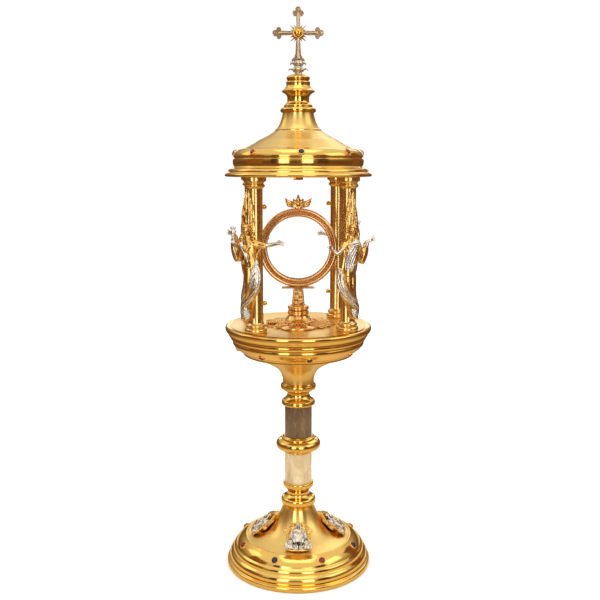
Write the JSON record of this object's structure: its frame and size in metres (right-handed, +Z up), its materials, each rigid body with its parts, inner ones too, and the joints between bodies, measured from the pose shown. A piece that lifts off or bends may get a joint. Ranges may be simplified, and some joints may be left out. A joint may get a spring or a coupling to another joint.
{
  "type": "tower monstrance",
  "caption": "Gilt tower monstrance with a round foot, stone stem sleeves, columns and angels round a hinged glazed luna, a bell canopy and a budded cross.",
  "frame": {"origin": "centre of the base's underside, on the surface the object stands on", "axes": "+Z up along the stem; the luna, the cross and the front plaque face -Y; +X is to the right seen from the front"},
  "size_m": [0.1996, 0.1996, 0.75],
  "materials": {
    "polished_gold": "gilt brass, mirror polished",
    "satin_gold": "gilt brass, fine satin brushing",
    "rose_gold": "cast brass with a reddish gilding",
    "antique_silver": "silvered casting, darkened in its hollows",
    "steel": "plain steel, out of sight",
    "cream_onyx": "polished cream onyx",
    "brown_onyx": "polished brown onyx with upright bands",
    "blue_stone": "dark blue cabochon",
    "red_stone": "dark red cabochon",
    "clear_glass": "thin clear polished glass"
  },
  "bodies": {
    "root": {"angel_back_left": "satin_gold", "angel_back_right": "satin_gold", "angel_front_left": "satin_gold", "angel_front_right": "satin_gold", "angel_screw_back_left_lower": "polished_gold", "angel_screw_back_left_upper": "polished_gold", "angel_screw_back_right_lower": "polished_gold", "angel_screw_back_right_upper": "polished_gold", "angel_screw_front_left_lower": "polished_gold", "angel_screw_front_left_upper": "polished_gold", "angel_screw_front_right_lower": "polished_gold", "angel_screw_front_right_upper": "polished_gold", "brown_sleeve": "brown_onyx", "canopy": "satin_gold", "canopy_ceiling": "satin_gold", "canopy_nut": "polished_gold", "canopy_rod": "steel", "column_back_left": "polished_gold", "column_back_right": "polished_gold", "column_front_left": "polished_gold", "column_front_right": "polished_gold", "cream_sleeve": "cream_onyx", "cross": "satin_gold", "cross_medallion": "polished_gold", "cross_rays": "antique_silver", "cross_socket": "antique_silver", "finial_collar": "polished_gold", "foot_base_plate": "steel", "foot_collar": "polished_gold", "foot_gem_1": "blue_stone", "foot_gem_2": "red_stone", "foot_gem_3": "blue_stone", "foot_gem_4": "red_stone", "foot_gem_5": "blue_stone", "foot_gem_6": "red_stone", "foot_gem_7": "blue_stone", "foot_gem_8": "red_stone", "foot_plaque_back": "antique_silver", "foot_plaque_front": "antique_silver", "foot_plaque_left": "antique_silver", "foot_plaque_right": "antique_silver", "foot_shell": "satin_gold", "luna_foot": "rose_gold", "luna_pedestal": "rose_gold", "luna_pedestal_nut": "steel", "platform_pan": "satin_gold", "platform_plate": "polished_gold", "ring_knop": "polished_gold", "tie_rod": "steel", "tie_rod_foot_nut": "steel", "tie_rod_pan_nut": "steel", "tie_rod_washer": "steel", "upper_collar": "polished_gold"},
    "luna_capsule": {"luna_ring": "rose_gold", "luna_crest": "rose_gold", "luna_front_glass": "clear_glass", "door_hinge_pin": "steel"},
    "luna_door": {"door_ring": "rose_gold", "door_glass": "clear_glass"},
    "latch": {"door_latch": "rose_gold"}
  },
  "joints": [
    {"name": "luna_lift", "type": "slide", "parent": "root", "child": "luna_capsule", "axis": [0, 0, 1], "range_m": [0, 0.014]},
    {"name": "door_swing", "type": "hinge", "parent": "luna_capsule", "child": "luna_door", "pos_m": [0.0502, 0.009, 0.4419], "axis": [0, 0, -1], "range_deg": [0, 55]},
    {"name": "latch_turn", "type": "hinge", "parent": "luna_capsule", "child": "latch", "pos_m": [-0.0502, 0.0077, 0.4419], "axis": [0, -1, 0], "range_deg": [0, 90]}
  ]
}
